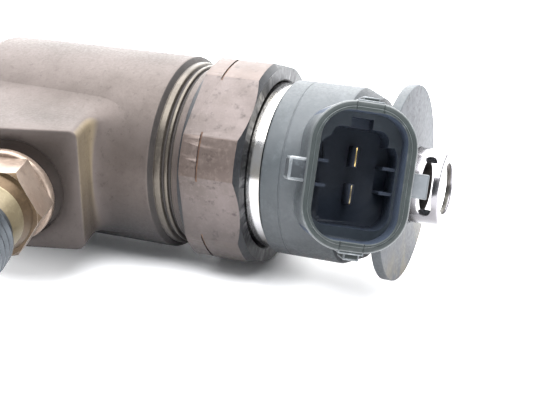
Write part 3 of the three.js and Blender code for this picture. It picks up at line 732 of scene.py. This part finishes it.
def neck_finish(centre, normal, index):
    """Bright lands, and painted shade on the end chamfer and in the grooves, between the wide body and the
    nut.
    """
    along = centre.x - BODY_END
    if math.hypot(centre.y, centre.z) < 12.7 or along < 0.02 or along > 3.3:
        return 0
    if along < 0.6 or 1.72 < along < 2.13 or 2.68 < along < 3.15:
        return 2
    return 1


# ---- inlet ----

HEX_BACK = 26.5  # of the hexagon, along the inlet from the injector's axis
HEX_FRONT = 31.9
INLET_AXIS = (INLET.to_3x3() @ Vector((0, 0, 1))).normalized()


def hexagon_block(name, across, low, high, matrix, turn=0.0):
    bm = bmesh.new()
    reach = across / math.sqrt(3)
    loops = []
    for z in (low, high):
        ring = []
        for k in range(6):
            angle = 60 * k * ROUND + turn
            ring.append(Vector((reach * math.cos(angle), reach * math.sin(angle), z)))
        loops.append(ring)
    loft(bm, loops, close_first=True, close_last=True)
    return new_object(name, bm, matrix)


def helix_thread(bm, start, end, root, crest, pitch, sides=72):
    """A thread ridge laid along a helix, sinking into its core at both ends."""
    count = int((end - start) / pitch * sides)
    profile = ((0.0, 0), (0.34, 1), (0.46, 1), (0.8, 0))
    previous = None
    for i in range(count + 1):
        angle = 2 * math.pi * i / sides
        z = start + pitch * i / sides
        fade = min(1, i / sides, (count - i) / sides)
        ring = []
        for offset, height in profile:
            r = root - 0.03 + (crest - root) * height * fade
            ring.append(bm.verts.new((r * math.cos(angle), r * math.sin(angle), z + offset * pitch)))
        if previous:
            for a, b, c, d in zip(previous, previous[1:], ring[1:], ring):
                bm.faces.new((a, b, c, d))
        previous = ring


def inlet_hexagon():
    across = 12.2
    corner = across / math.sqrt(3)
    hexagon = hexagon_block("inlet_hexagon", across, HEX_BACK, HEX_FRONT, INLET, -3.5 * ROUND)
    bm = bmesh.new()
    outline = [(HEX_BACK - 1, 0), (HEX_BACK - 1, corner), (HEX_FRONT - 0.5, corner - 0.02),
               (HEX_FRONT, corner - 0.5), (HEX_FRONT, 0)]
    lathe(bm, outline, 144)
    combine(hexagon, new_object("hexagon_turned", bm, INLET), "INTERSECT")
    finish_with(hexagon, INLET_STEEL)
    hexagon.data.materials.append(INLET_WORN)
    bevelled(hexagon, 0.14, 2, 20, 40, worn=1)

    def choose(centre, normal, index):
        return 2 if normal.dot(INLET_AXIS) > 0.35 and index == 0 else index

    paint(hexagon, [INLET_STEEL, INLET_WORN, INLET_DARK], choose)
    return hexagon


def inlet_shoulder():
    """The collar behind the hexagon and the dark undercut and bright ring in front of it."""
    bm = bmesh.new()
    outline = [(20, 5.0), (25, 5.0), (25, 6.5), (25.25, 6.8), (26.2, 6.85), (26.6, 6.6), (26.6, 5.9),
               (HEX_FRONT - 0.1, 5.9), (HEX_FRONT + 0.1, 5.85), (HEX_FRONT + 1.5, 5.1),
               (HEX_FRONT + 6.0, 5.05)]
    lathe(bm, soften(outline, 0.2), 144)
    shoulder = new_object("shoulder", bm, INLET)

    def choose(centre, normal, index):
        along = (centre - INLET.translation).dot(INLET_AXIS)
        if along < HEX_FRONT - 0.3:
            return 0
        return 1 if along < HEX_FRONT + 1.4 else 2

    paint(shoulder, [INLET_STEEL, INLET_DARK, BRASSY], choose)
    return shoulder


def inlet_thread():
    """The threaded end with its sealing cone and bore."""
    bm = bmesh.new()
    tip = HEX_FRONT + 15
    outline = [(HEX_FRONT + 5.7, 5.0), (HEX_FRONT + 5.9, 5.18), (tip - 0.7, 5.18), (tip - 0.05, 4.95),
               (tip, 4.9), (tip - 4.1, 2.6), (HEX_FRONT + 8.5, 2.6), (HEX_FRONT + 8.5, 2.2),
               (HEX_BACK, 2.2)]
    lathe(bm, soften(outline, 0.08), 144)
    helix_thread(bm, HEX_FRONT + 5.6, tip - 1.4, 5.18, 5.98, 1.5)
    thread = new_object("thread", bm, INLET, sharp=24)
    finish_with(thread, THREAD)
    return thread


def inlet_fitting():
    return join_pieces("inlet_fitting_full", [inlet_hexagon(), inlet_shoulder(), inlet_thread()])


# ---- clamping nut and magnet can ----

NUT_START = HEAD - 12.1
NUT_END = HEAD - 2.32
NUT_ACROSS = 29
NUT_CORNER_R = 15.33  # to which the corners are turned off
NUT_TURN = 39.2 * ROUND
GROOVE = HEAD - 8.51  # the line scribed across the nut's corners


def nut_blank():
    """The hexagon with its corners turned off, its scribed groove and its bore."""
    nut = hexagon_block("solenoid_nut_fine", NUT_ACROSS, NUT_START + 0.9, NUT_END, ALONG_X, NUT_TURN)
    bm = bmesh.new()
    outline = [(NUT_START, 0), (NUT_START, NUT_CORNER_R), (NUT_END - 0.7, NUT_CORNER_R),
               (NUT_END, NUT_ACROSS / 2), (NUT_END, 0)]
    lathe(bm, outline, 220)
    combine(nut, new_object("nut_turned", bm, ALONG_X), "INTERSECT")
    bm = bmesh.new()
    groove = [(GROOVE - 0.15, 15.14), (GROOVE - 0.15, 16), (GROOVE + 0.15, 16), (GROOVE + 0.15, 15.14)]
    lathe(bm, groove, 220, closed=True)
    combine(nut, new_object("nut_groove", bm, ALONG_X), "DIFFERENCE")
    bm = bmesh.new()
    bore = [(NUT_START - 1, 0), (NUT_START - 1, 13.4), (HEAD - 6.6, 13.4), (HEAD - 6.6, 12.36),
            (NUT_END - 0.3, 12.36), (NUT_END + 0.2, 12.86), (NUT_END + 0.2, 0)]
    lathe(bm, bore, 220)
    combine(nut, new_object("nut_bore", bm, ALONG_X), "DIFFERENCE")
    return nut


def nut_finish(centre, normal, index):
    """Flats, rubbed edges, dark ends, turned corners and the rusty groove."""
    radius = math.hypot(centre.y, centre.z)
    if index == 1 and centre.x < HEAD - 3.3:
        return 1
    if 14.9 < radius < 15.2 and abs(centre.x - GROOVE) < 0.14:
        return 4
    if abs(normal.x) > 0.25:
        return 2
    if radius > 15.15:
        return 3
    return 0


def solenoid_nut():
    nut = nut_blank()
    finish_with(nut, NUT)
    nut.data.materials.append(NUT_WORN)
    bevelled(nut, 0.09, 2, 24, 40, worn=1)
    paint(nut, [NUT, NUT_WORN, NUT_DARK, NUT_TURNED, RUST], nut_finish)
    collar = turned("nut_collar", [(NUT_START + 1.1, 13.42), (NUT_START, 13.42), (NUT_START, 13.95),
                                   (NUT_START + 1.1, 13.95)], 0.15)
    finish_with(collar, NUT_DARK)
    return join_pieces("solenoid_nut_full", [nut, collar])


def solenoid_can():
    outline = [(HEAD - 8.85, 10.95), (HEAD - 8.85, 13), (HEAD - 6.8, 13), (HEAD - 6.8, 12.2),
               (HEAD - 0.4, 12.2), (HEAD - 0.2, 12.02), (HEAD - 0.2, 10.95)]
    return turned("solenoid_can_fine", outline, 0.2, closed=True, sides=220)


# ---- plastic head ----

HEAD_R = 12.84
NECK_START = HEAD + 10  # where the head narrows towards the flange
DISC_START = HEAD + 16.33
DISC_END = HEAD + 17.8
MOUTH = 22.99  # of the socket, out along it from the injector's axis
SHROUD_X, SHROUD_Y = 6.91, 9.6  # half sizes of the socket's outside
MOUTH_X, MOUTH_Y = 5.7, 8.45  # half sizes of its opening
PLUG_OUT = (CONNECTOR.to_3x3() @ Vector((0, 0, 1))).normalized()


def head_outline():
    """Cylinder with a fine parting groove, sloping neck and disc flange, as (position, radius)."""
    side = [(HEAD + 2.96 + 0.352 * i, HEAD_R) for i in range(1, 20)]
    slope = [(NECK_START + 2.9 * i / 9, HEAD_R - 1.34 * i / 9) for i in range(10)]
    return [
        (HEAD, 10.75), (HEAD, 12.66), (HEAD + 0.12, 12.8), (HEAD + 0.3, HEAD_R), (HEAD + 1.2, HEAD_R),
        (HEAD + 2, HEAD_R), (HEAD + 2.7, HEAD_R), (HEAD + 2.78, 12.76), (HEAD + 2.88, 12.76),
        (HEAD + 2.96, HEAD_R), *side, *slope, (HEAD + 13.4, 8.2), (DISC_START - 0.6, 8.2),
        (DISC_START, 8.8), (DISC_START, 14.07), (DISC_END, 14.07), (DISC_END, 5.75),
        (DISC_END + 1.1, 5.6), (DISC_END + 1.1, 5.36), (HEAD + 12, 5.36),
    ]


def open_under_shroud(obj):
    """Removes the skin of the head where the socket goes through it."""
    back = CONNECTOR.inverted()
    bm = bmesh.new()
    bm.from_mesh(obj.data)
    hidden = []
    for face in bm.faces:
        place = back @ (face.calc_center_median() / MM)
        if place.z > 5 and rounded_reach(place, 6.2, 8.9, 5) < 0:
            hidden.append(face)
    bmesh.ops.delete(bm, geom=hidden, context="FACES")
    bm.to_mesh(obj.data)
    bm.free()


def rounded_reach(place, half_x, half_y, corner):
    """Distance outside a rounded rectangle; negative within it."""
    x, y = abs(place.x) - half_x + corner, abs(place.y) - half_y + corner
    return math.hypot(max(x, 0), max(y, 0)) + min(max(x, y), 0) - corner


def head_finish(centre, normal, index):
    """Plain plastic, the flange's stained face with painted light, and the shaded neck."""
    if centre.x > DISC_END - 0.06 and normal.x > 0.9:
        return 1
    if NECK_START + 0.1 < centre.x < DISC_START + 0.1:
        return 2
    return 0


def head_turned():
    head = turned("head_turned", head_outline(), 0.2, sides=240)
    open_under_shroud(head)
    paint(head, [PLASTIC, DISC_FACE, PLASTIC_DEEP], head_finish)
    return head


def shroud_blank():
    """The socket's outside, with a small step round its rim."""
    w, h, corner = SHROUD_X, SHROUD_Y, 5.73
    bm = bmesh.new()
    loops = [rounded_loop(w, h, corner, 6), rounded_loop(w, h, corner, MOUTH - 0.5)]
    for inset, depth in ((0.06, 0.28), (0.22, 0.14), (0.75, 0.12), (0.83, 0.0), (3.0, 0.0)):
        loops.append(rounded_loop(w - inset, h - inset, corner - inset, MOUTH - depth))
    loft(bm, loops, close_first=True, close_last=True)
    return new_object("shroud", bm, CONNECTOR)


def mouth_cutter():
    bm = bmesh.new()
    loops = [rounded_loop(5.55, 8.3, 3.8, MOUTH - 5), rounded_loop(5.55, 8.3, 3.8, MOUTH - 0.2)]
    loops += [rounded_loop(MOUTH_X, MOUTH_Y, 3.95, MOUTH + rise) for rise in (0.02, 1)]
    loft(bm, loops, close_first=True, close_last=True)
    return new_object("mouth_cut", bm, CONNECTOR)


def prism_cutter(half_x, half_y, corner, low, high, shift=0.0):
    bm = bmesh.new()
    loops = [rounded_loop(half_x, half_y, corner, z, 8) for z in (low, high)]
    loft(bm, loops, close_first=True, close_last=True)
    return new_object("cut", bm, CONNECTOR @ Matrix.Translation((0, shift, 0)))


def box_cutter(low, high):
    bm = bmesh.new()
    box(bm, low, high)
    return new_object("cut", bm, CONNECTOR)


def socket_cutters():
    """The narrow part of the socket, with a shoulder at one corner and four ribs left standing."""
    floor = MOUTH - 12.4
    lower = prism_cutter(5.2, 5.9, 2.2, floor, MOUTH - 4, -0.9)
    upper = prism_cutter(3.8, 6.3, 1.4, floor, MOUTH - 4)
    combine(lower, box_cutter((3.8, 4.3, floor - 1), (6, 6, MOUTH)), "DIFFERENCE")
    for side in (1, -1):
        for y in (1.5, -1.75):
            near, far = sorted((side * 3.6, side * 6))
            for tool in (lower, upper):
                rib = box_cutter((near, y - 0.22, floor - 1), (far, y + 0.22, MOUTH - 6))
                combine(tool, rib, "DIFFERENCE")
    notch = box_cutter((-1.45, 6, MOUTH - 9), (1.45, 7.6, MOUTH - 4))
    return [lower, upper, notch]


def rim_marks():
    """Fine cuts across the rim where the clip lugs cross it."""
    spots = ((-1.6, 1), (1.9, 1), (-1.3, -1), (1.8, -1))
    cutters = []
    for x, side in spots:
        near, far = sorted((side * 8.35, side * 10.2))
        cutters.append(box_cutter((x - 0.06, near, MOUTH - 0.22), (x + 0.06, far, MOUTH + 1)))
    return cutters


def rim_finish(centre, normal, index):
    """Rim, worn edges and the painted shade inside the socket."""
    place = CONNECTOR.inverted() @ centre
    depth = MOUTH - place.z
    if depth < 0.6:
        facing = normal.dot(PLUG_OUT)
        return 2 if facing > 0.93 else (1 if facing > 0.25 else 0)
    inside = max(abs(place.x) - MOUTH_X, abs(place.y) - MOUTH_Y) < 0.02 and depth < 12.6
    if not inside:
        return 0
    if index == 1 or (4.6 < depth < 5.4 and normal.dot(PLUG_OUT) > 0.9):
        return 4
    return 3 if normal.dot(PLUG_OUT) > 0.5 else 5


def shroud():
    body = shroud_blank()
    combine(body, mouth_cutter(), "DIFFERENCE")
    for cutter in socket_cutters() + rim_marks():
        combine(body, cutter, "DIFFERENCE")
    finish_with(body, PLASTIC)
    body.data.materials.append(RIM_EDGE)
    bevelled(body, 0.06, 1, 45, 40, worn=1)
    paint(body, [PLASTIC, RIM_EDGE, RIM, SOCKET_SHADE, SOCKET_EDGE_SHADE, SOCKET_WALL_SHADE], rim_finish)
    return body


def lug(name, blocks, material):
    """Blocks given as low corner, high corner and edge rounding, with rubbed edges."""
    bm = bmesh.new()
    for low, high, rounding in blocks:
        box(bm, low, high, rounding, 3)
    obj = new_object(name, bm, CONNECTOR)
    obj.data.materials.append(material)
    obj.data.materials.append(LUG_EDGE)
    return obj


def lugs():
    """The clip lugs on the socket's four sides."""
    w, h = SHROUD_X, SHROUD_Y
    right = [((w - 1, -1.7, MOUTH - 6), (w + 2.2, 1.5, MOUTH - 1.6), 0.22)]
    left = [((-w - 2.1, -1.6, MOUTH - 8), (-w + 1, 1.5, MOUTH - 1.3), 0.4)]
    ends = [
        ((-1.6, h - 1, MOUTH - 6), (1.9, h + 0.15, MOUTH - 0.3), 0.2),
        ((-0.9, h - 1, MOUTH - 6), (1.3, h + 0.6, MOUTH - 0.9), 0.2),
        ((-1.4, -h - 0.3, MOUTH - 7), (1.9, -h + 1, MOUTH - 0.3), 0.2),
        ((-0.6, -h - 1.1, MOUTH - 7), (1.5, -h + 1, MOUTH - 0.9), 0.25),
    ]
    return [lug("pale_lug", right, PLASTIC_LIGHT), lug("scuffed_lug", left, PLASTIC_SCUFFED),
            lug("dark_lugs", ends, RIM)]


def connector_head():
    return join_pieces("connector_head_full", [head_turned(), shroud(), *lugs()])


def terminal(side):
    """A blade with a sharpened tip; side is 1 for the upper one and -1 for the lower."""
    bm = bmesh.new()
    y, tip = side * 2.5, MOUTH - 6.6
    loops = []
    for z, thick, half in ((6, 0.4, 1.4), (tip - 0.7, 0.4, 1.4), (tip, 0.1, 1.25)):
        corners = ((1, 1), (-1, 1), (-1, -1), (1, -1))
        loops.append([Vector((sx * thick, y + sy * half, z)) for sx, sy in corners])
    loft(bm, loops, close_first=True, close_last=True)
    obj = new_object(f"terminal_fine_{1 if side > 0 else 2}", bm, CONNECTOR)
    bevelled(obj, 0.03, 1, 30, 50)
    tip_gold = GOLD if side > 0 else GOLD_WORN

    # The tip faces take the gold; the other faces take the painted shade.
    def choose(centre, normal, index):
        return 0 if normal.dot(PLUG_OUT) > 0.6 else 1

    paint(obj, [tip_gold, PIN_SIDE_SHADE], choose)
    return obj


# ---- return sleeve ----


def return_sleeve():
    """A tube with an oblong window on each side, near its end."""
    end = HEAD + 23.3
    outline = [(HEAD + 12.3, 3.65), (HEAD + 12.3, 5.33), (end, 5.33), (end, 3.65)]
    sleeve = turned("return_sleeve_fine", outline, 0.3, closed=True, sides=200)
    for sign in (1, -1):
        bm = bmesh.new()
        loops = [rounded_loop(1.05, 4.15, 1.0, z * sign, 12) for z in (1.5, 9)]
        loft(bm, loops, close_first=True, close_last=True)
        matrix = turn_matrix(end - 1.95, PLUG_TURN, 0)
        combine(sleeve, new_object("window", bm, matrix), "DIFFERENCE")
    reshade(sleeve, 30)

    def choose(centre, normal, index):
        outward = (normal.y * centre.y + normal.z * centre.z) / math.hypot(centre.y, centre.z)
        return 1 if outward < -0.8 and centre.x < end - 0.6 else 0

    paint(sleeve, [SLEEVE, SLEEVE_INSIDE], choose)
    return sleeve


# ---- nozzle end ----


def nozzle_body():
    outline = [(-18, 0), (-17.9, 0.6), (-17.4, 1.15), (-16.9, 1.4), (-13.2, 3.1), (-12, 3.5), (1.62, 3.5),
               (2.4, 4.5), (17.2, 4.5), (18, 6.2), (18, 6.95), (25.6, 6.95), (26, 6.6), (26, 2.1)]
    return turned("nozzle_body_fine", outline, 0.2, sides=96)


def retaining_nut():
    outline = [(17, 4.75), (1.7, 4.75), (1.7, 7.6), (2.3, 8.2), (9, 8.2), (9.6, 8.5), (36.4, 8.5),
               (37.2, 8), (37.2, 7.45), (17.7, 7.45)]
    return turned("retaining_nut_fine", outline, 0.3)


def sealing_washer():
    outline = [(0, 3.8), (0, 7), (0.25, 7.3), (1.25, 7.3), (1.5, 7), (1.5, 3.8)]
    return turned("sealing_washer_fine", outline, 0.2, closed=True)


# ---- build ----

piece(injector_body(), "injector_body", BODY)
piece(inlet_fitting(), "pressure_inlet_fitting", INLET_STEEL)
piece(solenoid_nut(), "solenoid_nut", NUT)
piece(solenoid_can(), "solenoid_can", CHROME)
piece(connector_head(), "connector_head", PLASTIC)
piece(terminal(1), "terminal_pin_1", GOLD)
piece(terminal(-1), "terminal_pin_2", GOLD)
piece(return_sleeve(), "return_sleeve", SLEEVE)
piece(nozzle_body(), "nozzle_body", BODY)
piece(retaining_nut(), "nozzle_retaining_nut", NUT)
piece(sealing_washer(), "sealing_washer", COPPER)

KEPT = {
    "ground_steel": GROUND, "spring_steel": SPRING, "bright_metal": CHROME,
    "bobbin_plastic": BOBBIN, "copper": COPPER, "seal_rubber": RUBBER,
}
SLOTS = {s["node"]: s["material_slot"] for s in frame["record"]["subparts"]}
for node, obj in frame["nodes"].items():
    if SLOTS[node] in KEPT:
        finish_with(obj, KEPT[SLOTS[node]])

# ---- floor, light and camera ----


def floor():
    lowest = cad_box[0][2]
    bm = bmesh.new()
    reach, steps = 1600 * MM, 40
    rows = []
    for i in range(steps + 1):
        y = -reach + 2 * reach * i / steps
        rows.append([bm.verts.new((-reach + 2 * reach * j / steps, y, lowest)) for j in range(steps + 1)])
    for low, high in zip(rows, rows[1:]):
        for j in range(steps):
            bm.faces.new((low[j], low[j + 1], high[j + 1], high[j]))
    mesh = bpy.data.meshes.new("table")
    bm.to_mesh(mesh)
    bm.free()
    obj = bpy.data.objects.new("table", mesh)
    bpy.context.scene.collection.objects.link(obj)
    finish_with(obj, floor_finish())


def area_light(name, place, target, size, power, color=(1, 1, 1)):
    data = bpy.data.lights.new(name, "AREA")
    data.shape = "RECTANGLE"
    data.size, data.size_y = size
    data.energy = power
    data.color = color
    obj = bpy.data.objects.new(name, data)
    obj.location = place
    obj.rotation_euler = (Vector(target) - Vector(place)).to_track_quat("-Z", "Y").to_euler()
    bpy.context.scene.collection.objects.link(obj)


def lights():
    middle = Vector((HEAD * MM, 0, 0))
    away = Vector((-math.sin(CAMERA_AZIMUTH), math.cos(CAMERA_AZIMUTH), 0))
    area_light("window", middle + away * 1.3 + Vector((0, 0, 0.85)), middle, (3.2, 1.6), 92)
    area_light("overhead", middle + Vector((0, 0, 1.1)), middle, (1.7, 1.7), 104, (0.975, 0.985, 1))
    world = bpy.data.worlds.new("studio")
    world.use_nodes = True
    background = world.node_tree.nodes["Background"]
    background.inputs["Color"].default_value = (0.93, 0.96, 1, 1)
    background.inputs["Strength"].default_value = 0.9
    bpy.context.scene.world = world
    bpy.context.scene.view_settings.view_transform = "Standard"


def camera():
    azimuth, elevation = CAMERA_AZIMUTH, CAMERA_ELEVATION
    focal_pixels, picture_width = 1160.04, 548
    data = bpy.data.cameras.new("camera")
    data.sensor_width = 36
    data.lens = focal_pixels / picture_width * 36
    data.clip_start = 0.005
    obj = bpy.data.objects.new("camera", data)
    obj.location = Vector((HEAD + 56.576, -149.264, 62.638)) * MM
    back = Vector((math.sin(azimuth) * math.cos(elevation), -math.cos(azimuth) * math.cos(elevation),
                   math.sin(elevation)))
    obj.rotation_euler = (-back).to_track_quat("-Z", "Y").to_euler()
    bpy.context.scene.collection.objects.link(obj)
    bpy.context.scene.camera = obj


floor()
lights()
camera()
